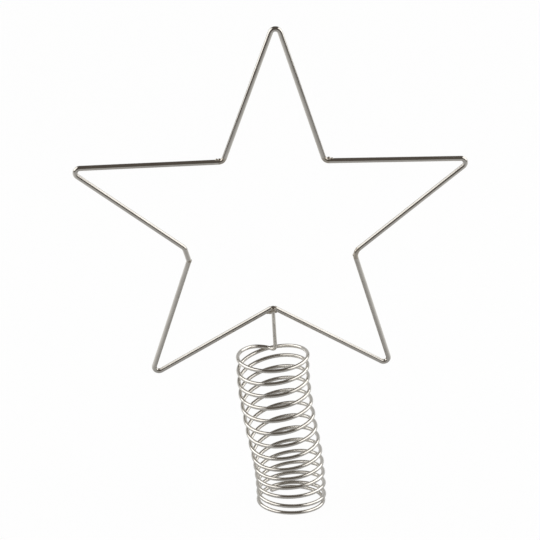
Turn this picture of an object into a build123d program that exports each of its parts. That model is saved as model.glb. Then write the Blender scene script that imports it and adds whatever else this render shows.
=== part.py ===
from build123d import *
import math
import os

# Tree topper: an outline star of bent wire, welded to the stem of a coil spring.
# Lengths are in millimetres and angles in degrees. +Z is up, the star faces -Y,
# and the origin is the centre of the spring's foot turn, on the surface it stands on.

# Star: five bent wires, placed on a five-pointed star of tips and inner corners.
STAR_WIRE = 3.0  # diameter of the star's wire
TIP_REACH = 123.0  # star centre to where a point's two legs would meet
CORNER_REACH = 50.8  # star centre to an inner corner
TIP_BEND_RADIUS = 2.8  # centre line of the bend at each tip
STAR_LEAN = 9.0  # forward lean of the star's plane

# Bent by hand: how far each tip and corner strays to the right and up, as shares of its reach.
TIP_STRAY_SHARES = {
    "top": (0.0, 0.016),
    "right": (-0.008, 0.008),
    "lower_right": (0.011, 0.019),
    "lower_left": (-0.004, 0.016),
    "left": (-0.007, 0.008),
}
CORNER_STRAY_SHARES = {
    "upper_right": (-0.012, -0.025),
    "right": (-0.003, -0.066),
    "bottom": (0.010, -0.058),
    "left": (0.016, -0.007),
    "upper_left": (0.016, -0.006),
}

# The left point's lower leg is bent once more, short of its weld.
END_BEND_RADIUS = 4.0  # centre line of that bend
END_BEND_REACH = 5.2  # along the bent leg, from where the two legs at the left corner would meet
END_WELD_REACH = 5.4  # along the other leg, where the two wires meet instead

# Spring: one wire, wound from its free end on the foot up to the stem.
SPRING_WIRE = 2.0  # diameter of the spring's wire
FOOT_TURN_RADIUS = 20.3  # centre line of the foot turn
TOP_TURN_RADIUS = 21.3  # centre line of the top turn
FOOT_PITCH = 6.3  # rise of the turns next to the foot
LOWER_PITCH = 6.9  # rise of the turns above them
MIDDLE_PITCH = 8.8  # rise of the turns that are stretched most
TOP_PITCH = 7.0  # rise of the upper turns
FREE_END_AZIMUTH = 123.8  # where the wire ends on the foot turn
FREE_END_TUCK = 3.0  # how far the free end is drawn in under the next turn
FOOT_FLAT = 0.5  # depth ground off under the foot turn

# Spring, in turns counted from the free end.
FLAT_TURNS = 0.74  # lie flat on the surface
FOOT_PITCH_TURNS = 0.98  # here the wire climbs at the foot pitch
LOWER_TURNS = 4.5  # here at the lower pitch
STRETCHED_TURNS = 7.0  # here at the largest pitch
RELAXED_TURNS = 9.5  # here the pitch starts to fall
UPPER_TURNS = 13.0  # here it has fallen to the top pitch
TUCKED_TURNS = 0.5  # drawn in at the free end
WOUND_TURNS = 13.955  # end of the winding, at the left of the top turn
FOOT_SPLIT_TURNS = 4  # foot turns end and lower turns start
SWAY_SPLIT_TURNS = 8  # lower turns end and upper turns start
NOD_SPLIT_TURNS = 11  # upper turns end and the stem's own turns start
ARCS_PER_TURN = 4  # biarcs in a turn

# Spring, sagging under the star: slopes at shares of the coil's height.
AXIS_LEFT_SLOPES = [(0.0, 0.0), (0.14, 0.08), (0.36, 0.206), (0.70, 0.161), (1.02, -0.043)]
AXIS_FRONT_SLOPES = [(0.0, 0.0), (0.14, 0.02), (0.36, 0.137), (0.70, 0.143), (1.02, 0.093)]
TURN_LEFT_TILTS = [(0.0, 0.0), (0.14, 0.11), (0.36, 0.201), (0.70, 0.207), (1.02, 0.154)]

# Stem: the last of the spring's wire, drawn in from the top turn and bent upright.
STEM_INSET = 6.0  # distance inside the top turn
STEM_DROP = 4.8  # distance below the top turn's plane
STEM_SHIFT = 3.0  # distance to the right of the coil's axis
STEM_LENGTH = 28.6  # from its bend's corner to the star's bottom corner
STEM_BEND_RADIUS = 2.6  # centre line of the bend at its foot
STEM_SIDE_LEAN = 3.5  # lean to the left in the star's plane

# Welds.
WELD_ROOT = 0.2  # weld metal between each wire's end and where the wires would touch
STEM_WELD_FOOT = 1.7  # radius of the weld on the stem's end
STEM_WELD_HEAD = 3.0  # radius of the weld between the star's wires
STEM_WELD_RISE = 0.5  # how far that weld stands above the wires' meeting point

CURVE_STEP_SHARE = 0.001  # share of a turn over which directions are taken
GAP_SAMPLES_PER_TURN = 90  # points on a turn for measuring the gap between turns

X = Vector(1, 0, 0)
Y = Vector(0, 1, 0)
Z = Vector(0, 0, 1)

star_radius = STAR_WIRE / 2
spring_radius = SPRING_WIRE / 2


def ease(share):
    """Smooth rise from 0 to 1."""
    share = min(max(share, 0.0), 1.0)
    return share * share * (3 - 2 * share)


# Coil: height of its axis, sagging axis, winding.
PITCH_KNOTS = [
    (0.0, 0.0),
    (FLAT_TURNS, 0.0),
    (FOOT_PITCH_TURNS, FOOT_PITCH),
    (LOWER_TURNS, LOWER_PITCH),
    (STRETCHED_TURNS, MIDDLE_PITCH),
    (RELAXED_TURNS, MIDDLE_PITCH),
    (UPPER_TURNS, TOP_PITCH),
    (WOUND_TURNS + 1, TOP_PITCH),
]


def summed(knots, place):
    """A rate that runs straight from knot to knot, summed up to a place."""
    total = 0.0
    for (start, low), (end, high) in zip(knots, knots[1:]):
        passed = min(max(place, start), end) - start
        total += passed * (low + (high - low) / (end - start) * passed / 2)
    return total


def read_off(knots, place):
    """That rate at a place."""
    for (start, low), (end, high) in zip(knots, knots[1:]):
        if place <= end:
            return low + (high - low) * (place - start) / (end - start)
    return knots[-1][1]


def climb(turns):
    """Height of the axis after a number of turns."""
    return summed(PITCH_KNOTS, turns)


coil_height = climb(WOUND_TURNS)
foot_wire_height = spring_radius - FOOT_FLAT


def axis_point(height):
    """Point of the coil's axis at a height above the foot turn."""
    share = height / coil_height
    left = coil_height * summed(AXIS_LEFT_SLOPES, share)
    front = coil_height * summed(AXIS_FRONT_SLOPES, share)
    return Z * (foot_wire_height + height) - X * left - Y * front


def across_turn(height, direction):
    """A level direction, tipped into the plane of the turn at a height."""
    share = height / coil_height
    upright = (Z - X * read_off(TURN_LEFT_TILTS, share) - Y * read_off(AXIS_FRONT_SLOPES, share)).normalized()
    return direction - (upright + Z) * (direction.dot(upright) / (1 + upright.Z))


def wound(turns):
    """Point of the wire's centre line after a number of turns from the free end."""
    height = climb(turns)
    radius = FOOT_TURN_RADIUS + (TOP_TURN_RADIUS - FOOT_TURN_RADIUS) * height / coil_height
    radius -= FREE_END_TUCK * (1 - ease(turns / TUCKED_TURNS))
    azimuth = math.radians(FREE_END_AZIMUTH - 360 * turns)
    outward = X * math.cos(azimuth) + Y * math.sin(azimuth)
    return axis_point(height) + across_turn(height, outward) * radius


def heading(turns):
    """Direction of the wire there, going up."""
    return (wound(turns + CURVE_STEP_SHARE) - wound(turns - CURVE_STEP_SHARE)).normalized()


def biarc(start, start_heading, end, end_heading):
    """Two tangent arcs from one point and heading to another."""
    chord = end - start
    both = start_heading + end_heading
    bend = 2 * (1 - start_heading.dot(end_heading))
    pull = chord.dot(both)
    reach = (math.sqrt(pull * pull + bend * chord.dot(chord)) - pull) / bend
    middle = (start + end + (start_heading - end_heading) * reach) / 2
    first = TangentArc(start, middle, tangent=start_heading)
    second = TangentArc(middle, end, tangent=first % 1)
    return [first, second]


def turns_between(start_turns, end_turns):
    """Edges of the winding: biarcs of about a quarter turn, with straight ends one wire long."""
    count = round((end_turns - start_turns) * ARCS_PER_TURN)
    stations = [start_turns + (end_turns - start_turns) * n / count for n in range(count + 1)]
    points = [wound(turns) for turns in stations]
    headings = [heading(turns) for turns in stations]
    points[0] += headings[0] * SPRING_WIRE
    points[-1] -= headings[-1] * SPRING_WIRE
    edges = [Line(wound(start_turns), points[0])]
    for here, there, start_heading, end_heading in zip(points, points[1:], headings, headings[1:]):
        edges += biarc(here, start_heading, there, end_heading)
    edges.append(Line(points[-1], wound(end_turns)))
    return edges


def wire_solid(edges, diameter):
    """Round wire along edges that follow on one another."""
    path = Wire(edges)
    section = Plane(origin=path @ 0, z_dir=path % 0) * Circle(diameter / 2)
    solid = sweep(section, path=path).solid()
    return solid, path


# Stem: from the left of the top turn, in towards the axis, along +X and then up to the star.
star_up = Z * math.cos(math.radians(STAR_LEAN)) - Y * math.sin(math.radians(STAR_LEAN))
stem_up = star_up * math.cos(math.radians(STEM_SIDE_LEAN)) - X * math.sin(math.radians(STEM_SIDE_LEAN))
top_turn_centre = axis_point(coil_height)
stem_corner = (
    top_turn_centre
    + across_turn(coil_height, Y) * (TOP_TURN_RADIUS - STEM_INSET)
    + across_turn(coil_height, X) * STEM_SHIFT
    - Z * STEM_DROP
)
stem_setback = STEM_BEND_RADIUS * math.tan(math.radians(X.get_angle(stem_up)) / 2)
stem_bend_start = stem_corner - X * stem_setback
stem_bend_end = stem_corner + stem_up * stem_setback

# Star: tips and corners in the star's plane, clockwise as seen from the front.
TIPS = ["top", "right", "lower_right", "lower_left", "left"]
CORNERS = ["upper_right", "right", "bottom", "left", "upper_left"]
STEP = 360 / len(TIPS)


def star_place(reach, angle, stray_shares):
    """Place in the star's plane, from its centre: right and up."""
    right = reach * (math.cos(math.radians(angle)) + stray_shares[0])
    up = reach * (math.sin(math.radians(angle)) + stray_shares[1])
    return right, up


tip_places = {
    name: star_place(TIP_REACH, 90 - STEP * n, TIP_STRAY_SHARES[name]) for n, name in enumerate(TIPS)
}
corner_places = {
    name: star_place(CORNER_REACH, 90 - STEP * (n + 0.5), CORNER_STRAY_SHARES[name])
    for n, name in enumerate(CORNERS)
}
bottom_corner = stem_corner + stem_up * STEM_LENGTH
star_centre = bottom_corner - X * corner_places["bottom"][0] - star_up * corner_places["bottom"][1]


def in_star(place):
    """A place in the star's plane as a point of the part."""
    return star_centre + X * place[0] + star_up * place[1]


tips = {name: in_star(place) for name, place in tip_places.items()}
corners = {name: in_star(place) for name, place in corner_places.items()}

# Each corner lies between the point before it and the point after it.
legs = {
    name: (
        (tips[TIPS[n]] - corners[name]).normalized(),
        (tips[TIPS[(n + 1) % len(TIPS)]] - corners[name]).normalized(),
    )
    for n, name in enumerate(CORNERS)
}

# At the left corner the wires meet on the lower of the two legs.
end_bend = corners["left"] + legs["left"][1] * END_BEND_REACH
corners["left"] += legs["left"][0] * END_WELD_REACH
legs["left"] = (legs["left"][0], (end_bend - corners["left"]).normalized())


def end_setback(name):
    """How far short of the corner each wire is cut, square, so that the two just clear."""
    notch = math.radians(legs[name][0].get_angle(legs[name][1]))
    return star_radius / math.tan(notch / 2) + WELD_ROOT


def bent(start, corner, end, radius):
    """A straight run and the arc that rounds the corner after it, and the place where the arc ends."""
    outward = (corner - start).normalized()
    inward = (end - corner).normalized()
    setback = radius * math.tan(math.radians(outward.get_angle(inward)) / 2)
    arc_start = corner - outward * setback
    arc_end = corner + inward * setback
    return [Line(start, arc_start), TangentArc(arc_start, arc_end, tangent=outward)], arc_end


def point_edges(n):
    """Centre line of one V: a straight leg, the bend at the tip and the other leg."""
    before, after = CORNERS[n - 1], CORNERS[n]
    tip = tips[TIPS[n]]
    start = corners[before] + legs[before][1] * end_setback(before)
    end = corners[after] + legs[after][0] * end_setback(after)
    edges = []
    if before == "left":
        edges, start = bent(start, end_bend, tip, END_BEND_RADIUS)
    tip_edges, start = bent(start, tip, end, TIP_BEND_RADIUS)
    return edges + tip_edges + [Line(start, end)]


def half_space(solid, origin, keep_direction):
    """The part of a solid on one side of a plane."""
    return split(solid, bisect_by=Plane(origin=origin, z_dir=keep_direction), keep=Keep.TOP).solid()


def corner_weld(name):
    """Weld metal between two square-cut ends: their mitred corner, flat across the inside."""
    corner = corners[name]
    setback = end_setback(name)
    halves = []
    for along, other in (legs[name], legs[name][::-1]):
        end = corner + along * setback
        rod = Solid.make_cylinder(star_radius, setback + STAR_WIRE, Plane(origin=end, z_dir=along * -1))
        halves.append(half_space(rod, corner, (along - other).normalized()))
    elbow = halves[0].fuse(halves[1]).solid()
    inward = (legs[name][0] + legs[name][1]).normalized() * -1
    across = inward - legs[name][0] * inward.dot(legs[name][0])
    chord_point = corner + legs[name][0] * setback + across.normalized() * star_radius
    return half_space(elbow, chord_point, inward * -1)


parts = {}
points = {}
for n, name in enumerate(TIPS):
    points[name], path = wire_solid(point_edges(n), STAR_WIRE)
    parts["star_point_" + name] = points[name]
    print(f"star_point_{name}: wire {path.length:.1f} mm long")

for name in CORNERS:
    if name != "bottom":
        parts["weld_" + name] = corner_weld(name)

# Bottom corner: the same fill, with a cone of weld metal down to the stem's square end.
half_notch = math.radians(legs["bottom"][0].get_angle(legs["bottom"][1])) / 2
stem_gap = (star_radius + spring_radius * math.cos(half_notch)) / math.sin(half_notch) + WELD_ROOT
stem_end = bottom_corner - stem_up * stem_gap
cone_height = stem_gap + STEM_WELD_RISE
cone = Solid.make_cone(STEM_WELD_FOOT, STEM_WELD_HEAD, cone_height, Plane(origin=stem_end, z_dir=stem_up))
stem_weld = corner_weld("bottom").fuse(cone).solid()
for name in ("lower_right", "lower_left"):
    stem_weld = stem_weld.cut(points[name]).solid()
parts["weld_stem"] = stem_weld

# Spring: one unbroken centre line, in the lengths that bend at the foot, middle and top.
foot_start = wound(0) - heading(0) * SPRING_WIRE
foot_edges = turns_between(0, FOOT_SPLIT_TURNS)
foot_edges[0] = Line(foot_start, foot_edges[0] @ 1)
stem_turns = turns_between(NOD_SPLIT_TURNS, WOUND_TURNS)
stem_turns += biarc(wound(WOUND_TURNS), heading(WOUND_TURNS), stem_bend_start, X)
stem_turns.append(TangentArc(stem_bend_start, stem_bend_end, tangent=X))
stem_turns.append(Line(stem_bend_end, stem_end))
spring_edges = {
    "spring_foot_turns": foot_edges,
    "spring_lower_turns": turns_between(FOOT_SPLIT_TURNS, SWAY_SPLIT_TURNS),
    "spring_upper_turns": turns_between(SWAY_SPLIT_TURNS, NOD_SPLIT_TURNS),
    "spring_stem_turns": stem_turns,
}
spring_length = 0.0
tightest = min(
    edge.radius for edges in spring_edges.values() for edge in edges if edge.geom_type == GeomType.CIRCLE
)
for name, edges in spring_edges.items():
    parts[name], path = wire_solid(edges, SPRING_WIRE)
    spring_length += path.length
    expected = path.length * math.pi * spring_radius**2
    print(f"{name}: wire {path.length:.1f} mm, volume {parts[name].volume / expected:.5f} of its section times length")
parts["spring_foot_turns"] = half_space(parts["spring_foot_turns"], Vector(0, 0, 0), Z)
print(f"spring: wire {spring_length:.1f} mm long, tightest bend {tightest:.2f} mm")

# Least gap of the spring to itself, on points along its centre line more than half a turn apart.
samples = []
run = 0.0
spacing = 2 * math.pi * FOOT_TURN_RADIUS / GAP_SAMPLES_PER_TURN
for edges in spring_edges.values():
    for edge in edges:
        steps = max(1, round(edge.length / spacing))
        for step in range(steps):
            samples.append((run + edge.length * step / steps, edge @ (step / steps)))
        run += edge.length
apart = math.pi * (FOOT_TURN_RADIUS - FREE_END_TUCK)
least = min(
    (place - other).length
    for index, (run, place) in enumerate(samples)
    for other_run, other in samples[index + 1 : index + 3 * GAP_SAMPLES_PER_TURN]
    if other_run - run > apart
)
print(f"spring: least gap to itself {least - SPRING_WIRE:.2f} mm")


def told(vector):
    """A point as text."""
    return f"({vector.X:.2f}, {vector.Y:.2f}, {vector.Z:.2f})"


for label, turns in (("foot", FOOT_SPLIT_TURNS), ("sway", SWAY_SPLIT_TURNS), ("nod", NOD_SPLIT_TURNS)):
    print(f"coil axis at the {label} split: {told(axis_point(climb(turns)))}")
print(f"coil axis at the top turn: {told(top_turn_centre)}")
print(f"stem corner {told(stem_corner)}, stem end {told(stem_end)}, bottom corner {told(bottom_corner)}")
print(f"star centre {told(star_centre)}")
for name in TIPS:
    print(f"tip {name} {told(tips[name])}")
for name in CORNERS:
    print(f"corner {name} {told(corners[name])}")

os.makedirs("parts", exist_ok=True)
for name, solid in parts.items():
    solid.label = name
    export_step(solid, f"parts/{name}.step")
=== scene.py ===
# %% [markdown]
# A wire star for the top of a Christmas tree. Five bent wires are welded into an outline
# star, and the star is welded to the stem of a coil spring that slips over the tree's
# top shoot. The solid model is loaded first. It fixes every place and every joint, and
# this script only makes the visible surfaces around it.

# %% Load the solid model
import math

import bmesh
import bpy
from mathutils import Matrix, Vector, noise


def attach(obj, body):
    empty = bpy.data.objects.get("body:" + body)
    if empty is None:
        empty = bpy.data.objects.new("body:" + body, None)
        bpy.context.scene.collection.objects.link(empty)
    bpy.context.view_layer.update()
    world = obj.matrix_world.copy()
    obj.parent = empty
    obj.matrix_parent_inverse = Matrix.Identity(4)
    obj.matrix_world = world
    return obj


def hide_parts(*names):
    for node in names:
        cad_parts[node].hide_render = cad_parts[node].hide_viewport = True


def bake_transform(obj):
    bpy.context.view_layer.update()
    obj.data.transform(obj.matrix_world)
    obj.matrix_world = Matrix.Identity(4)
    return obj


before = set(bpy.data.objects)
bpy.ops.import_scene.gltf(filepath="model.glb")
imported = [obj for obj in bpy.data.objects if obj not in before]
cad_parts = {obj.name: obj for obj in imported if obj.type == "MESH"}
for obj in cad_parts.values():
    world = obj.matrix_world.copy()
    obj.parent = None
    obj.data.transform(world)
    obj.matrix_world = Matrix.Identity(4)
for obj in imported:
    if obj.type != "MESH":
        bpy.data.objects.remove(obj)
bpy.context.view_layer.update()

# %% [markdown]
# The camera stands where the photograph was taken: nearly in front of the star, a little
# to its left, and above it, so that the turns of the coil open up as ellipses. A long lens
# keeps the star's arms nearly parallel. The shift only slides the picture in its frame.

# %% Camera
MM = 0.001
IMAGE_SIDE = 540
SENSOR_WIDTH = 36
CAMERA_ELEVATION = math.radians(17.454)
CAMERA_AZIMUTH = math.radians(5.989)
CAMERA_ROLL = math.radians(-0.088)
CAMERA_DISTANCE = 999.6 * MM
FOCAL_PIXELS = 1690.15
AIM = Vector((0, 0, 150 * MM))
AIM_PIXEL = (291.07, 268.01)

away = Vector(
    (
        -math.sin(CAMERA_AZIMUTH) * math.cos(CAMERA_ELEVATION),
        -math.cos(CAMERA_AZIMUTH) * math.cos(CAMERA_ELEVATION),
        math.sin(CAMERA_ELEVATION),
    )
)
camera_data = bpy.data.cameras.new("camera")
camera_data.sensor_width = SENSOR_WIDTH
camera_data.lens = FOCAL_PIXELS / IMAGE_SIDE * SENSOR_WIDTH
camera_data.shift_x = (IMAGE_SIDE / 2 - AIM_PIXEL[0]) / IMAGE_SIDE
camera_data.shift_y = (AIM_PIXEL[1] - IMAGE_SIDE / 2) / IMAGE_SIDE
camera = bpy.data.objects.new("camera", camera_data)
bpy.context.collection.objects.link(camera)
looking = away.to_track_quat("Z", "Y").to_matrix().to_4x4()
rolled = looking @ Matrix.Rotation(CAMERA_ROLL, 4, "Z")
camera.matrix_world = Matrix.Translation(AIM + away * CAMERA_DISTANCE) @ rolled
bpy.context.scene.camera = camera
print("camera at", [round(value, 4) for value in camera.location], "lens", round(camera_data.lens, 1))

# %% [markdown]
# Every wire of this object is round and is bent only in straight runs and arcs, so one
# helper can draw them all, much as a wire bender does. It starts from a circle of
# vertices. A straight run extrudes that circle, and an arc spins it about the arc's own
# centre. A curve object with a bevel would be shorter to write, but its rings twist and
# crowd in tight bends. Each vertex also keeps its place round the wire and along it, so
# that the drawing marks in the metal can follow the wire.

# %% Start a wire, push it straight, swing it round an arc
WIRE_SIDES = 20
BEND_STEP = math.radians(7.5)
VERTEX = bmesh.types.BMVert
EDGE = bmesh.types.BMEdge


def only(parts, kind):
    """The parts of a mesh that are of one kind."""
    return [part for part in parts if isinstance(part, kind)]


def wire_start(start, heading, radius):
    """A mesh with one circle of vertices, square to the heading, and that circle."""
    mesh = bmesh.new()
    place = mesh.verts.layers.float_vector.new("wire_place")
    turned = heading.to_track_quat("Z", "X").to_matrix().to_4x4()
    bmesh.ops.create_circle(
        mesh, segments=WIRE_SIDES, radius=radius, matrix=Matrix.Translation(start) @ turned
    )
    for vertex in mesh.verts:
        local = turned.inverted() @ (vertex.co - start)
        vertex[place] = (local.x, local.y, 0)
    return mesh, list(mesh.verts) + list(mesh.edges)


def draw_straight(mesh, ring, run):
    """Pushes the last circle on by a straight run. Gives the new circle."""
    pushed = bmesh.ops.extrude_edge_only(mesh, edges=only(ring, EDGE))["geom"]
    verts = only(pushed, VERTEX)
    bmesh.ops.translate(mesh, verts=verts, vec=run)
    here = set(verts)
    return verts + [edge for edge in mesh.edges if edge.verts[0] in here and edge.verts[1] in here]


def draw_arc(mesh, ring, start, heading, end):
    """Swings the last circle along the arc that leaves start along the heading and reaches end.

    Gives the new circle and the heading there.
    """
    chord = end - start
    inward = chord - heading * chord.dot(heading)
    inward.normalize()
    radius = chord.length_squared / (2 * chord.dot(inward))
    angle = 2 * math.atan2(chord.dot(inward), chord.dot(heading))
    axis = heading.cross(inward)
    swung = bmesh.ops.spin(
        mesh,
        geom=ring,
        cent=start + inward * radius,
        axis=axis,
        angle=angle,
        steps=max(1, math.ceil(angle / BEND_STEP)),
        use_merge=False,
    )
    leaving = Matrix.Rotation(angle, 3, axis) @ heading
    return only(swung["geom_last"], (VERTEX, EDGE)), leaving


print("wires have", WIRE_SIDES, "sides")


# %% Close a wire and make it a piece
def close_wire(mesh):
    """Measures along the wire from circle to circle and closes both ends. Gives the wire's length."""
    place = mesh.verts.layers.float_vector["wire_place"]
    mesh.verts.ensure_lookup_table()
    run = 0.0
    before = None
    for first in range(0, len(mesh.verts), WIRE_SIDES):
        circle = mesh.verts[first : first + WIRE_SIDES]
        middle = sum((vertex.co for vertex in circle), Vector()) / WIRE_SIDES
        if before is not None:
            run += (middle - before).length
        before = middle
        for vertex in circle:
            vertex[place] = (vertex[place][0], vertex[place][1], run)
    rims = [edge for edge in mesh.edges if edge.is_boundary]
    bmesh.ops.holes_fill(mesh, edges=rims, sides=WIRE_SIDES)
    bmesh.ops.recalc_face_normals(mesh, faces=mesh.faces)
    for face in mesh.faces:
        face.smooth = len(face.verts) == 4
    for edge in rims:
        edge.smooth = False
    return run


def made_piece(mesh, name, material):
    """Turns a finished mesh into an object with its material."""
    data = bpy.data.meshes.new(name)
    mesh.to_mesh(data)
    mesh.free()
    data.materials.append(material)
    piece = bpy.data.objects.new(name, data)
    bpy.context.collection.objects.link(piece)
    return piece


# %% [markdown]
# The finish. Steel wire is drawn through a die and then plated with nickel, which is a
# slightly warm grey mirror. Two things break the mirror up: fine lines left by the die,
# which run along the wire, and slow clouds in the plating. They could be painted as
# pictures, but noise needs no unwrapping and shows no seam. Both are shared by the star,
# the spring and the welds, so each is a node group that all three materials use.

# %% Node group: die lines along the wire
def new_group(name, inputs, outputs):
    """An empty node group with named sockets."""
    group = bpy.data.node_groups.new(name, "ShaderNodeTree")
    for label, default in inputs:
        socket = group.interface.new_socket(label, in_out="INPUT", socket_type="NodeSocketFloat")
        socket.default_value = default
    for label in outputs:
        group.interface.new_socket(label, in_out="OUTPUT", socket_type="NodeSocketFloat")
    return group, group.nodes.new("NodeGroupInput"), group.nodes.new("NodeGroupOutput")


def joined(tree, *pairs):
    """Links pairs of sockets."""
    for source, target in pairs:
        tree.links.new(source, target)


die_lines, given, put_out = new_group("die_lines", [("Across", 9000.0), ("Along", 60.0)], ["Lines"])
wire_place = die_lines.nodes.new("ShaderNodeAttribute")
wire_place.attribute_name = "wire_place"
stretch = die_lines.nodes.new("ShaderNodeCombineXYZ")
stretched = die_lines.nodes.new("ShaderNodeVectorMath")
stretched.operation = "MULTIPLY"
line_noise = die_lines.nodes.new("ShaderNodeTexNoise")
line_noise.inputs["Scale"].default_value = 1.0
line_noise.inputs["Detail"].default_value = 3.0
joined(
    die_lines,
    (given.outputs["Across"], stretch.inputs["X"]),
    (given.outputs["Across"], stretch.inputs["Y"]),
    (given.outputs["Along"], stretch.inputs["Z"]),
    (wire_place.outputs["Vector"], stretched.inputs[0]),
    (stretch.outputs["Vector"], stretched.inputs[1]),
    (stretched.outputs["Vector"], line_noise.inputs["Vector"]),
    (line_noise.outputs["Fac"], put_out.inputs["Lines"]),
)
print("die_lines:", len(die_lines.nodes), "nodes")

# %% Node group: clouds and specks in the plating
plating_clouds, given, put_out = new_group(
    "plating_clouds", [("Scale", 90.0), ("Speck Scale", 1400.0)], ["Clouds", "Specks"]
)
coordinates = plating_clouds.nodes.new("ShaderNodeTexCoord")
cloud_noise = plating_clouds.nodes.new("ShaderNodeTexNoise")
cloud_noise.inputs["Detail"].default_value = 4.0
cloud_noise.inputs["Roughness"].default_value = 0.6
speck_noise = plating_clouds.nodes.new("ShaderNodeTexNoise")
speck_noise.inputs["Detail"].default_value = 2.0
joined(
    plating_clouds,
    (coordinates.outputs["Object"], cloud_noise.inputs["Vector"]),
    (coordinates.outputs["Object"], speck_noise.inputs["Vector"]),
    (given.outputs["Scale"], cloud_noise.inputs["Scale"]),
    (given.outputs["Speck Scale"], speck_noise.inputs["Scale"]),
    (cloud_noise.outputs["Fac"], put_out.inputs["Clouds"]),
    (speck_noise.outputs["Fac"], put_out.inputs["Specks"]),
)
print("plating_clouds:", len(plating_clouds.nodes), "nodes")

# %% [markdown]
# All three metals are the same plating. The star's tones are set a little darker than the
# spring's, which is painted shade on the star and painted light on the spring, so that each
# matches how bright it looks under the lights. The welds are darker, browner and rougher,
# because filler takes the plating less evenly. The clouds mix a bright and a dull tone, the die
# lines change the roughness, and lines and specks together make a bump of less than a
# hundredth of a millimetre.

# %% Materials of the wires and the welds
NOISE_RANGE = (0.3, 0.7)


def spread(tree, value, start, end, low, high):
    """A value that runs from start to end, spread from low to high."""
    ramp = tree.nodes.new("ShaderNodeMapRange")
    ramp.inputs["From Min"].default_value = start
    ramp.inputs["From Max"].default_value = end
    ramp.inputs["To Min"].default_value = low
    ramp.inputs["To Max"].default_value = high
    tree.links.new(value, ramp.inputs["Value"])
    return ramp.outputs["Result"]


def plated(name, bright, dull, roughness, line_depth, speck_depth):
    """Nickel plating between a bright and a dull tone, with lines and specks this many millimetres deep."""
    material = bpy.data.materials.new(name)
    material.use_nodes = True
    tree = material.node_tree
    metal = tree.nodes["Principled BSDF"]
    metal.inputs["Metallic"].default_value = 1.0
    clouds = tree.nodes.new("ShaderNodeGroup")
    clouds.node_tree = plating_clouds
    lines = tree.nodes.new("ShaderNodeGroup")
    lines.node_tree = die_lines
    tone = tree.nodes.new("ShaderNodeMix")
    tone.data_type = "RGBA"
    tone.inputs["A"].default_value = (*bright, 1)
    tone.inputs["B"].default_value = (*dull, 1)
    height = tree.nodes.new("ShaderNodeMix")
    height.data_type = "FLOAT"
    height.inputs["Factor"].default_value = speck_depth / (line_depth + speck_depth)
    bump = tree.nodes.new("ShaderNodeBump")
    bump.inputs["Distance"].default_value = (line_depth + speck_depth) * MM
    joined(
        tree,
        (spread(tree, clouds.outputs["Clouds"], *NOISE_RANGE, 0.0, 1.0), tone.inputs["Factor"]),
        (tone.outputs["Result"], metal.inputs["Base Color"]),
        (spread(tree, lines.outputs["Lines"], *NOISE_RANGE, *roughness), metal.inputs["Roughness"]),
        (lines.outputs["Lines"], height.inputs["A"]),
        (clouds.outputs["Specks"], height.inputs["B"]),
        (height.outputs["Result"], bump.inputs["Height"]),
        (bump.outputs["Normal"], metal.inputs["Normal"]),
    )
    return material


# The star's tones are darker than the spring's as painted shade, and the spring's are lighter as painted
# light: the plating is the same.
star_nickel = plated(
    "star_nickel",
    bright=(0.62, 0.595, 0.55),
    dull=(0.53, 0.505, 0.465),
    roughness=(0.13, 0.21),
    line_depth=0.0006,
    speck_depth=0.0004,
)
spring_nickel = plated(
    "spring_nickel",
    bright=(0.73, 0.705, 0.655),
    dull=(0.64, 0.615, 0.57),
    roughness=(0.07, 0.14),
    line_depth=0.0004,
    speck_depth=0.0003,
)
weld_nickel = plated(
    "weld_nickel",
    bright=(0.54, 0.50, 0.435),
    dull=(0.40, 0.36, 0.305),
    roughness=(0.10, 0.26),
    line_depth=0.001,
    speck_depth=0.004,
)
print("materials:", star_nickel.name, spring_nickel.name, weld_nickel.name)

# %% [markdown]
# The spring is one wire, wound left-handed from its free end on the foot up to the stem.
# The weight of the star makes it sag, so its axis is S-shaped and its turns tilt. A Screw
# modifier would give an even, straight coil. Here the winding is worked out for points a
# quarter turn apart, and two tangent arcs join each point to the next. It is nearly that
# of the solid model, with the thicker wire and the top turn that the photograph shows.
# Each list below holds pairs of a place and a value, and the values run straight between.

# %% Sizes of the coil, in millimetres and turns
SPRING_WIRE = 2.3
FOOT_TURN_RADIUS = 20.3
TOP_TURN_RADIUS = 21.08
FREE_END_AZIMUTH = 123.8
FREE_END_TUCK = 3.3
TUCKED_TURNS = 0.5
FOOT_FLAT = 0.5
WOUND_TURNS = 13.95
LEAVING_TURNS = 13.86
RIGHT = Vector((1, 0, 0))
BACK = Vector((0, 1, 0))
UP = Vector((0, 0, 1))

# The rise per turn, by the number of turns.
PITCHES = [
    (0.0, 0.0),
    (0.74, 0.0),
    (0.98, 6.3),
    (4.5, 6.9),
    (7.0, 8.8),
    (9.5, 8.8),
    (13.0, 7.0),
    (15.0, 7.0),
]
# The slopes of the axis and of the turns round it, by the share of the coil's height.
AXIS_LEFT_SLOPES = [(0.0, 0.0), (0.14, 0.08), (0.36, 0.206), (0.70, 0.161), (1.02, -0.043)]
AXIS_FRONT_SLOPES = [(0.0, 0.0), (0.14, 0.02), (0.36, 0.137), (0.70, 0.143), (1.02, 0.093)]
TURN_LEFT_TILTS = [(0.0, 0.0), (0.14, 0.11), (0.36, 0.201), (0.70, 0.207), (0.955, 0.173), (0.99, 0.08)]
TURN_FRONT_TILTS = [
    (0.0, 0.0),
    (0.14, 0.02),
    (0.36, 0.137),
    (0.70, 0.143),
    (0.88, 0.115),
    (0.97, 0.054),
    (1.0, 0.0),
]


def summed(knots, place):
    """A rate that runs straight from knot to knot, summed up to a place."""
    total = 0.0
    for (start, low), (end, high) in zip(knots, knots[1:]):
        passed = min(max(place, start), end) - start
        total += passed * (low + (high - low) / (end - start) * passed / 2)
    return total


def read_off(knots, place):
    """That rate at a place."""
    for (start, low), (end, high) in zip(knots, knots[1:]):
        if place <= end:
            return low + (high - low) * (place - start) / (end - start)
    return knots[-1][1]


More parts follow.
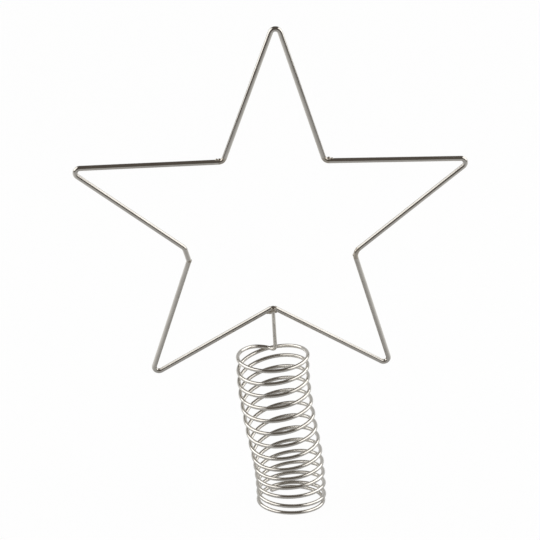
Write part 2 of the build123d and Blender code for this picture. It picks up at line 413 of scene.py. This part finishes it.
coil_height = summed(PITCHES, WOUND_TURNS)
print(f"coil {coil_height:.1f} mm high, foot turn {2 * FOOT_TURN_RADIUS:.1f} mm across")

# %% Winding of the coil
HEADING_STEP = 0.002


def axis_point(height):
    """Point of the coil's axis, in millimetres."""
    share = height / coil_height
    left = coil_height * summed(AXIS_LEFT_SLOPES, share)
    front = coil_height * summed(AXIS_FRONT_SLOPES, share)
    return Vector((-left, -front, SPRING_WIRE / 2 - FOOT_FLAT + height))


def upright_of_turn(height):
    """Direction square to the turn at a height."""
    share = height / coil_height
    left = read_off(TURN_LEFT_TILTS, share)
    front = read_off(TURN_FRONT_TILTS, share)
    return Vector((-left, -front, 1)).normalized()


def across_turn(height, direction):
    """A level direction, tipped into the plane of the turn."""
    upright = upright_of_turn(height)
    return direction - (upright + UP) * (direction.dot(upright) / (1 + upright.z))


def wound(turns):
    """Point of the wire's centre line after a number of turns, in metres."""
    height = summed(PITCHES, turns)
    share = min(max(turns / TUCKED_TURNS, 0), 1)
    radius = FOOT_TURN_RADIUS + (TOP_TURN_RADIUS - FOOT_TURN_RADIUS) * height / coil_height
    radius -= FREE_END_TUCK * (1 - share * share * (3 - 2 * share))
    azimuth = math.radians(FREE_END_AZIMUTH - 360 * turns)
    outward = Vector((math.cos(azimuth), math.sin(azimuth), 0))
    return (axis_point(height) + across_turn(height, outward) * radius) * MM


def wound_heading(turns):
    """Direction of the wire there, going up."""
    return (wound(turns + HEADING_STEP) - wound(turns - HEADING_STEP)).normalized()


print("free end at", [round(value, 4) for value in wound(0)])

# %% [markdown]
# The coil is drawn in three lengths, because the real spring bends in its own way along each
# of them when the star moves. They meet face to face on one unbroken line. The foot turn is
# ground flat where it stands, and one cut by a level plane does that.

# %% Draw the lower and the upper turns
ARCS_PER_TURN = 4
LOWER_END = 8.0
UPPER_END = 10.5


def draw_biarc(mesh, ring, start, start_heading, end, end_heading):
    """Two tangent arcs from one point and heading to another. Gives the last circle."""
    chord = end - start
    pull = chord.dot(start_heading + end_heading)
    bend = 2 * (1 - start_heading.dot(end_heading))
    reach = (math.sqrt(pull * pull + bend * chord.length_squared) - pull) / bend
    middle = (start + end + (start_heading - end_heading) * reach) / 2
    ring, middle_heading = draw_arc(mesh, ring, start, start_heading, middle)
    return draw_arc(mesh, ring, middle, middle_heading, end)[0]


def draw_turns(mesh, ring, first, last):
    """The winding from one number of turns to another. Gives the last circle."""
    count = round((last - first) * ARCS_PER_TURN)
    stations = [first + (last - first) * n / count for n in range(count + 1)]
    for here, there in zip(stations, stations[1:]):
        ring = draw_biarc(mesh, ring, wound(here), wound_heading(here), wound(there), wound_heading(there))
    return ring


free_end = wound(0) - wound_heading(0) * SPRING_WIRE * MM
mesh, ring = wire_start(free_end, wound_heading(0), SPRING_WIRE / 2 * MM)
ring = draw_straight(mesh, ring, wound(0) - free_end)
draw_turns(mesh, ring, 0, LOWER_END)
lower_length = close_wire(mesh)
everything = mesh.verts[:] + mesh.edges[:] + mesh.faces[:]
cut = bmesh.ops.bisect_plane(
    mesh, geom=everything, plane_co=(0, 0, 0), plane_no=(0, 0, -1), clear_outer=True
)
ground = only(cut["geom_cut"], EDGE)
bmesh.ops.holes_fill(mesh, edges=ground, sides=0)
for edge in ground:
    edge.smooth = False
coil_lower = made_piece(mesh, "coil_lower_turns", spring_nickel)
print(f"lower turns: {lower_length / MM:.0f} mm of wire, ground flat along {len(ground)} edges")

mesh, ring = wire_start(wound(LOWER_END), wound_heading(LOWER_END), SPRING_WIRE / 2 * MM)
draw_turns(mesh, ring, LOWER_END, UPPER_END)
upper_length = close_wire(mesh)
coil_upper = made_piece(mesh, "coil_upper_turns", spring_nickel)
print(f"upper turns: {upper_length / MM:.0f} mm of wire")

# %% [markdown]
# The stem is the last of the spring's wire. It leaves the top turn at the left, curves in
# more tightly than the turn, dips a little below it, and is bent upright with pliers just
# inside the back of the turn, so its bend is tight. It ends square under the star's bottom
# corner, where it is welded. The star's places are worked out up from the stem: those of a
# regular star, each with the small stray that the photograph shows.

# %% Places of the stem and the star, in millimetres
STAR_WIRE = 3.0
TIP_REACH = 123.0
CORNER_REACH = 50.8
STAR_LEAN = math.radians(9.0)
STEM_INSET = 5.89
STEM_DROP = 3.8
STEM_SHIFT = 2.89
STEM_LENGTH = 29.17
STEM_SIDE_LEAN = math.radians(3.5)
FIRST_TIP_ANGLE = 90
FIRST_CORNER_ANGLE = 54
POINT_ANGLE = 72

# How far each place strays to the right and up, as shares of its reach.
TIPS = {
    "top": (0.0, 0.0158),
    "right": (-0.0083, 0.008),
    "lower_right": (0.011, 0.019),
    "lower_left": (-0.004, 0.016),
    "left": (-0.0067, 0.008),
}
CORNERS = {
    "upper_right": (-0.012, -0.025),
    "right": (-0.003, -0.066),
    "bottom": (0.010, -0.058),
    "left": (0.016, -0.007),
    "upper_left": (0.016, -0.006),
}

star_up = UP * math.cos(STAR_LEAN) - BACK * math.sin(STAR_LEAN)
stem_up = star_up * math.cos(STEM_SIDE_LEAN) - RIGHT * math.sin(STEM_SIDE_LEAN)
stem_corner = (
    axis_point(coil_height)
    + across_turn(coil_height, BACK) * (TOP_TURN_RADIUS - STEM_INSET)
    + across_turn(coil_height, RIGHT) * STEM_SHIFT
    - UP * STEM_DROP
)
bottom_corner = stem_corner + stem_up * STEM_LENGTH


def star_places(strays, reach, first_angle):
    """Places in the star's plane, from its centre, one to each name and clockwise from the first angle."""
    places = {}
    for n, (name, (stray_right, stray_up)) in enumerate(strays.items()):
        angle = math.radians(first_angle - POINT_ANGLE * n)
        right = math.cos(angle) + stray_right
        up = math.sin(angle) + stray_up
        places[name] = (RIGHT * right + star_up * up) * reach
    return places


tips = star_places(TIPS, TIP_REACH, FIRST_TIP_ANGLE)
corners = star_places(CORNERS, CORNER_REACH, FIRST_CORNER_ANGLE)
star_centre = bottom_corner - corners["bottom"]
tips = {name: star_centre + place for name, place in tips.items()}
corners = {name: star_centre + place for name, place in corners.items()}
print("star centre", [round(value, 2) for value in star_centre])
print("top tip", [round(value, 2) for value in tips["top"]])

# %% Directions of the legs that leave each corner
tip_names = list(TIPS)
corner_names = list(CORNERS)
legs = {
    name: (
        (tips[tip_names[n]] - corners[name]).normalized(),
        (tips[tip_names[(n + 1) % len(tip_names)]] - corners[name]).normalized(),
    )
    for n, name in enumerate(corner_names)
}
for name, (first_leg, second_leg) in legs.items():
    print(f"corner {name}: {math.degrees(first_leg.angle(second_leg)):.1f} degrees")

# %% Draw the top turns and the stem
STEM_BEND_RADIUS = 2.6
STEM_ENTRY = math.radians(40.0)
STEM_DIP = math.radians(6.0)
ROOT_GAP = 0.2

half_notch = legs["bottom"][0].angle(legs["bottom"][1]) / 2
stem_gap = (STAR_WIRE / 2 + SPRING_WIRE / 2 * math.cos(half_notch)) / math.sin(half_notch) + ROOT_GAP
stem_end = bottom_corner - stem_up * stem_gap
stem_entry = Matrix.Rotation(-STEM_ENTRY, 3, UP) @ Matrix.Rotation(STEM_DIP, 3, BACK) @ RIGHT
stem_setback = STEM_BEND_RADIUS * math.tan(stem_entry.angle(stem_up) / 2)
bend_start = (stem_corner - stem_entry * stem_setback) * MM
bend_end = (stem_corner + stem_up * stem_setback) * MM

mesh, ring = wire_start(wound(UPPER_END), wound_heading(UPPER_END), SPRING_WIRE / 2 * MM)
ring = draw_turns(mesh, ring, UPPER_END, LEAVING_TURNS)
ring = draw_biarc(mesh, ring, wound(LEAVING_TURNS), wound_heading(LEAVING_TURNS), bend_start, stem_entry)
ring, leaving = draw_arc(mesh, ring, bend_start, stem_entry, bend_end)
draw_straight(mesh, ring, stem_end * MM - bend_end)
top_length = close_wire(mesh)
coil_top = made_piece(mesh, "coil_top_turns_and_stem", spring_nickel)
print(f"top turns and stem: {top_length / MM:.0f} mm of wire")
print("the stem goes up along", [round(value, 3) for value in leaving])

# %% [markdown]
# Each point of the star is one wire, bent at its tip and cut square at both ends. The left
# one is bent once more, just short of its lower weld. The bends were made by hand, so no
# two points are quite alike. A leg is one long extrusion and a bend is one spin, which
# takes far fewer faces than a subdivided surface and keeps the wire equally thick.

# %% Draw the star's five points
TIP_BEND_RADIUS = 2.8
LEFT_BEND = 5.2
LEFT_BEND_RADIUS = 4.0
# How far short of a corner the wires are cut, where that isn't the least that they need.
CUT_BACK = {"upper_right": 2.6, "right": 4.0, "left": 5.4, "upper_left": 2.6}


def end_setback(name):
    """How far short of a corner its wires are cut, in millimetres."""
    notch = legs[name][0].angle(legs[name][1])
    return CUT_BACK.get(name, STAR_WIRE / 2 / math.tan(notch / 2) + ROOT_GAP)


def draw_bend(mesh, ring, here, corner, there, radius):
    """A straight run and then an arc round a corner. Gives the circle and the place where the arc ends."""
    outward = (corner - here).normalized()
    inward = (there - corner).normalized()
    setback = radius * math.tan(outward.angle(inward) / 2)
    bend_start = corner - outward * setback
    bend_end = corner + inward * setback
    ring = draw_straight(mesh, ring, (bend_start - here) * MM)
    return draw_arc(mesh, ring, bend_start * MM, outward, bend_end * MM)[0], bend_end


star_pieces = {}
for n, name in enumerate(tip_names):
    before, after = corner_names[n - 1], corner_names[n]
    route = [corners[before] + legs[before][1] * end_setback(before), tips[name]]
    if name == "left":
        weld_end = corners[before] + legs[before][0] * end_setback(before)
        second_bend = corners[before] + legs[before][1] * LEFT_BEND
        route = [weld_end, second_bend, tips[name]]
    route.append(corners[after] + legs[after][0] * end_setback(after))
    mesh, ring = wire_start(route[0] * MM, (route[1] - route[0]).normalized(), STAR_WIRE / 2 * MM)
    here = route[0]
    for corner, there in zip(route[1:], route[2:]):
        radius = TIP_BEND_RADIUS if corner == tips[name] else LEFT_BEND_RADIUS
        ring, here = draw_bend(mesh, ring, here, corner, there, radius)
    draw_straight(mesh, ring, (route[-1] - here) * MM)
    length = close_wire(mesh)
    star_pieces[name] = made_piece(mesh, "star_wire_" + name, star_nickel)
    print(f"star_wire_{name}: {length / MM:.1f} mm of wire")

# %% [markdown]
# The welds are small beads that fill the notch between two square ends and then were
# plated with the rest. Each starts as a short bent stub of wire, or a straight one at the
# left, where the wire itself is bent. A plain sphere would bulge out too far. Drops of
# weld metal that froze beside the joint are small round lumps on top of that. Then the
# vertices are moved in and out a little by noise, because no bead freezes evenly.

# %% Draw the corner welds
LEFT_STUB = 1.0
WOBBLE_SCALE = 900
CORNER_WOBBLE = 0.15
SEED_STEP = 3.7
# Each drop: the leg that it lies on, how far along that leg, how far off it, and its radius.
DROPS = {
    "upper_right": [(1, 2.4, -1.3, 1.25), (1, 4.2, -1.25, 0.8)],
    "right": [(1, 1.6, 0.5, 1.0), (0, 2.6, 0.4, 1.2)],
    "left": [(0, 5.4, 0.0, 1.65), (0, 4.8, -0.9, 1.0), (0, 3.6, -0.6, 1.0)],
    "upper_left": [(0, 3.6, -1.3, 0.9), (0, 2.0, -1.1, 1.1)],
}


def lumpy(mesh, centre, depth, seed):
    """Moves a bead's vertices in and out a little."""
    for vertex in mesh.verts:
        wobble = noise.noise(vertex.co * WOBBLE_SCALE + Vector((seed, 0, 0)))
        vertex.co += (vertex.co - centre).normalized() * wobble * depth * MM


def drop(mesh, place, radius):
    """A round lump of weld metal."""
    made = bmesh.ops.create_icosphere(
        mesh, subdivisions=2, radius=radius * MM, matrix=Matrix.Translation(place * MM)
    )
    for vertex in made["verts"]:
        for face in vertex.link_faces:
            face.smooth = True


weld_pieces = {}
for n, name in enumerate(CORNERS):
    if name == "bottom":
        continue
    first_leg, second_leg = legs[name]
    start = (corners[name] + first_leg * end_setback(name)) * MM
    end = (corners[name] + second_leg * end_setback(name)) * MM
    mesh, ring = wire_start(start, -first_leg, STAR_WIRE / 2 * MM)
    if name == "left":
        draw_straight(mesh, ring, -first_leg * LEFT_STUB * MM)
    else:
        draw_arc(mesh, ring, start, -first_leg, end)
    close_wire(mesh)
    inside = -(first_leg + second_leg).normalized()
    for leg, along, off, radius in DROPS[name]:
        direction = legs[name][leg]
        aside = (inside - direction * inside.dot(direction)).normalized()
        drop(mesh, corners[name] + direction * along + aside * off, radius)
    lumpy(mesh, corners[name] * MM, CORNER_WOBBLE, n * SEED_STEP)
    weld_pieces[name] = made_piece(mesh, "weld_bead_" + name, weld_nickel)
print("corner welds:", ", ".join(weld_pieces))

# %% [markdown]
# The stem's weld carries the whole star, so it is the largest. It is a bead that widens
# from the stem up to the two wires: a circle that is extruded and scaled ring by ring.
# Five drops of filler lie round it, and more of it ran to the left.

# %% Draw the stem's weld
STEM_WELD_RADIUS = 1.5
STEM_WOBBLE = 0.1
STEM_SEED = 21.0
# Each ring: how far it rises above the one before, and how much it grows.
STEM_WELD_RINGS = ((0.8, 1.1), (0.9, 1.15), (0.7, 1.05), (0.4, 0.8), (0.2, 0.6))
# Each drop: how far right of the corner, above it and in front of it, and its radius.
STEM_DROPS = (
    (-1.8, -3.0, 0.0, 1.45),
    (-3.2, -3.3, 0.0, 1.05),
    (1.7, -2.6, 0.0, 1.2),
    (1.6, 0.4, 0.7, 0.6),
    (-3.6, -3.3, 0.0, 0.9),
)

mesh, ring = wire_start(stem_end * MM, stem_up, STEM_WELD_RADIUS * MM)
for rise, grow in STEM_WELD_RINGS:
    ring = draw_straight(mesh, ring, stem_up * rise * MM)
    verts = only(ring, VERTEX)
    middle = sum((vertex.co for vertex in verts), Vector()) / len(verts)
    bmesh.ops.scale(mesh, verts=verts, vec=(grow, grow, grow), space=Matrix.Translation(-middle))
close_wire(mesh)
for right, up, front, radius in STEM_DROPS:
    drop(mesh, bottom_corner + RIGHT * right + star_up * up - BACK * front, radius)
lumpy(mesh, bottom_corner * MM, STEM_WOBBLE, STEM_SEED)
weld_pieces["stem"] = made_piece(mesh, "weld_bead_stem", weld_nickel)
print("stem weld:", len(weld_pieces["stem"].data.polygons), "faces")

# %% [markdown]
# The star and its welds ride on the star, and the solid parts that they are drawn for are
# hidden. The coil gives along its whole length: the lower turns shorten and stretch as the
# star bobs, the upper ones lean as it sways, and the top ones tip as it nods. Here its three
# lengths are only fixed where they are drawn, and the solid turns that they are drawn for
# are hidden.

# %% Ride, and hide the solid parts
FOOT_HELD_TURNS = 0.9
STEM_HELD_TURNS = 13.4
SEAM_ROOM = 1.2

for name, piece in star_pieces.items():
    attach(piece, "star")
    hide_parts("star_point_" + name)
for name, piece in weld_pieces.items():
    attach(piece, "star")
    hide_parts("weld_" + name)


def level(turns, offset):
    """A point on the coil's axis that lies level with a place on the wire, in metres."""
    height = summed(PITCHES, turns)
    upright = upright_of_turn(height)
    point = axis_point(height) * MM
    return point + upright * ((wound(turns) - point).dot(upright) + offset * MM)


level(FOOT_HELD_TURNS, 0)
level(LOWER_END, -SEAM_ROOM)
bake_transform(coil_lower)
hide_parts("spring_foot_turns", "spring_lower_turns")
level(LOWER_END, SEAM_ROOM)
level(UPPER_END, -SEAM_ROOM)
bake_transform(coil_upper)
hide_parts("spring_upper_turns")
level(UPPER_END, SEAM_ROOM)
level(STEM_HELD_TURNS, 0)
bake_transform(coil_top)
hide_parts("spring_stem_turns")
coil_pieces = [coil_lower, coil_upper, coil_top]
print("pieces:", len(star_pieces) + len(weld_pieces) + len(coil_pieces))

# %% [markdown]
# The studio. The photograph was taken on white, between two large soft lights at the left
# and right, with a dark room in front and overhead. Bright wire shows all of that: the
# floor as grey, the lights as white lines and the room as dark lines. For the camera the
# floor mostly glows at a strength of 1, which is white. In reflections its glow carries
# painted shade: a painted shadow of the object close to it, and painted fall-off of the light
# towards the front and higher up the backdrop, as real paper between two lights has. The rest
# of it is ordinary paint, which keeps a soft shadow.

# %% White of the floor and backdrop
STAGE_GLOW = 0.97
STAGE_PAINT = (0.92, 0.92, 0.92)
# Each painted shade in the reflected white: from one distance to another, in metres, and the brightness at
# both.
# Painted fall-off of the light towards the front.
PAINTED_SHADE_TO_FRONT = (-0.45, 0.10, 0.46, 1.0)
# Painted shadow of the object, close to the middle.
PAINTED_SHADOW_NEAR_MIDDLE = (0.10, 0.35, 0.55, 1.0)
# Painted fall-off of the light higher up the backdrop.
PAINTED_SHADE_WITH_HEIGHT = (0.0, 0.3, 1.0, 0.55)


def combined(tree, operation, first, second):
    """Two values put together by one operation."""
    node = tree.nodes.new("ShaderNodeMath")
    node.operation = operation
    joined(tree, (first, node.inputs[0]), (second, node.inputs[1]))
    return node.outputs["Value"]


def reflected_white_with_painted_shade(tree):
    """How bright the stage is in reflections, with painted shade near the object, towards the front and up
    the backdrop.
    """
    place = tree.nodes.new("ShaderNodeTexCoord").outputs["Object"]
    apart = tree.nodes.new("ShaderNodeSeparateXYZ")
    reach = tree.nodes.new("ShaderNodeVectorMath")
    reach.operation = "LENGTH"
    joined(tree, (place, apart.inputs["Vector"]), (place, reach.inputs[0]))
    shade_by_front = spread(tree, apart.outputs["Y"], *PAINTED_SHADE_TO_FRONT)
    shadow_by_middle = spread(tree, reach.outputs["Value"], *PAINTED_SHADOW_NEAR_MIDDLE)
    shade_by_height = spread(tree, apart.outputs["Z"], *PAINTED_SHADE_WITH_HEIGHT)
    return combined(tree, "MULTIPLY", combined(tree, "MULTIPLY", shade_by_front, shadow_by_middle), shade_by_height)


def stage_white(name):
    """White that mostly glows for the camera, in reflections and through glass. Otherwise plain paint."""
    material = bpy.data.materials.new(name)
    material.use_nodes = True
    tree = material.node_tree
    tree.nodes.clear()
    path = tree.nodes.new("ShaderNodeLightPath").outputs
    seen = combined(tree, "MAXIMUM", path["Is Camera Ray"], path["Is Glossy Ray"])
    seen = combined(tree, "MAXIMUM", seen, path["Is Transmission Ray"])
    glow = spread(tree, seen, 0.0, 1.0, 0.0, STAGE_GLOW)
    paint = tree.nodes.new("ShaderNodeBsdfDiffuse")
    paint.inputs["Color"].default_value = (*STAGE_PAINT, 1)
    white = tree.nodes.new("ShaderNodeEmission")
    both = tree.nodes.new("ShaderNodeMixShader")
    surface = tree.nodes.new("ShaderNodeOutputMaterial")
    # The glow's strength carries the painted shade, except for camera rays, which see plain white.
    strength = combined(tree, "MAXIMUM", reflected_white_with_painted_shade(tree), path["Is Camera Ray"])
    joined(
        tree,
        (strength, white.inputs["Strength"]),
        (glow, both.inputs["Fac"]),
        (paint.outputs["BSDF"], both.inputs[1]),
        (white.outputs["Emission"], both.inputs[2]),
        (both.outputs["Shader"], surface.inputs["Surface"]),
    )
    return material


floor_white = stage_white("floor_white")
print("floor_white:", len(floor_white.node_tree.nodes), "nodes")

# %% [markdown]
# The floor is a round sheet that curves up into a backdrop at the back and at both sides,
# as a photographer's paper does, so that no edge shows behind the wires. It starts as a
# disc, whose rim is extruded up the curve. A cut takes the front half of it all away, and
# the edge that is left of the floor is pulled forward, towards the camera.

# %% Floor and backdrop, in metres
FLOOR_RADIUS = 1.2
FLOOR_SIDES = 96
FLOOR_BELOW = 0.00005
BACKDROP_FRONT = 0.1
TABLE_FRONT = 0.75
# Open edges that lie lower than this belong to the floor, and higher ones to the curve.
FLOOR_EDGE_TOP = 0.005
# Each step of the curve: its distance from the middle and its height.
COVE_PROFILE = ((1.28, 0.01), (1.36, 0.04), (1.42, 0.09), (1.46, 0.16), (1.48, 0.24), (1.5, 1.2))

mesh = bmesh.new()
below = Matrix.Translation((0, 0, -FLOOR_BELOW))
bmesh.ops.create_circle(mesh, cap_ends=True, segments=FLOOR_SIDES, radius=FLOOR_RADIUS, matrix=below)
for radius, height in COVE_PROFILE:
    rim = [edge for edge in mesh.edges if edge.is_boundary]
    raised = only(bmesh.ops.extrude_edge_only(mesh, edges=rim)["geom"], VERTEX)
    grow = radius / raised[0].co.xy.length
    bmesh.ops.scale(mesh, verts=raised, vec=(grow, grow, 1))
    bmesh.ops.translate(mesh, verts=raised, vec=(0, 0, height - raised[0].co.z))
everything = mesh.verts[:] + mesh.edges[:] + mesh.faces[:]
bmesh.ops.bisect_plane(
    mesh, geom=everything, plane_co=(0, -BACKDROP_FRONT, 0), plane_no=(0, -1, 0), clear_outer=True
)
open_edges = [edge for edge in mesh.edges if edge.is_boundary]
front = [edge for edge in open_edges if max(vertex.co.z for vertex in edge.verts) < FLOOR_EDGE_TOP]
forward = only(bmesh.ops.extrude_edge_only(mesh, edges=front)["geom"], VERTEX)
bmesh.ops.translate(mesh, verts=forward, vec=(0, BACKDROP_FRONT - TABLE_FRONT, 0))
bmesh.ops.recalc_face_normals(mesh, faces=mesh.faces)
for face in mesh.faces:
    face.smooth = True
data = bpy.data.meshes.new("floor")
mesh.to_mesh(data)
mesh.free()
data.materials.append(floor_white)
floor = bpy.data.objects.new("floor", data)
bpy.context.collection.objects.link(floor)
print("floor and backdrop:", len(data.polygons), "faces")

# %% [markdown]
# Two tall soft panels light the object, and their reflections are the long white lines on
# the wires. A picture of a studio as the world would do that too, but lamps can be moved
# and dimmed one by one. The room is a dark warm grey, which only the camera sees as white.

# %% Lights and room
ROOM_TONE = (0.122, 0.107, 0.094)


def soft_light(name, azimuth, elevation, distance, lift, width, height, watts):
    """A large flat light that faces a point above the middle of the floor."""
    data = bpy.data.lights.new(name, "AREA")
    data.shape = "RECTANGLE"
    data.size = width
    data.size_y = height
    data.energy = watts
    lamp = bpy.data.objects.new(name, data)
    direction = Matrix.Rotation(math.radians(azimuth), 3, "Z") @ Vector((0, -1, 0))
    direction = direction * math.cos(math.radians(elevation)) + UP * math.sin(math.radians(elevation))
    turned = direction.to_track_quat("Z", "Y").to_matrix().to_4x4()
    lamp.matrix_world = Matrix.Translation(UP * lift + direction * distance) @ turned
    lamp.visible_camera = False
    bpy.context.collection.objects.link(lamp)


soft_light(
    "soft_light_left",
    azimuth=-92,
    elevation=20,
    distance=1.15,
    lift=0.52,
    width=2.0,
    height=1.25,
    watts=12.75,
)
soft_light(
    "soft_light_right",
    azimuth=90,
    elevation=33,
    distance=1.24,
    lift=0.13,
    width=2.2,
    height=1.18,
    watts=13.3,
)

world = bpy.data.worlds.new("dark_room")
bpy.context.scene.world = world
world.use_nodes = True
tree = world.node_tree
tree.nodes.clear()
path = tree.nodes.new("ShaderNodeLightPath")
room = tree.nodes.new("ShaderNodeBackground")
room.inputs["Color"].default_value = (*ROOM_TONE, 1)
white = tree.nodes.new("ShaderNodeBackground")
white.inputs["Color"].default_value = (1, 1, 1, 1)
both = tree.nodes.new("ShaderNodeMixShader")
surface = tree.nodes.new("ShaderNodeOutputWorld")
joined(
    tree,
    (path.outputs["Is Camera Ray"], both.inputs["Fac"]),
    (room.outputs["Background"], both.inputs[1]),
    (white.outputs["Background"], both.inputs[2]),
    (both.outputs["Shader"], surface.inputs["Surface"]),
)
bpy.context.scene.view_settings.view_transform = "Standard"
print("two soft lights and a dark room")
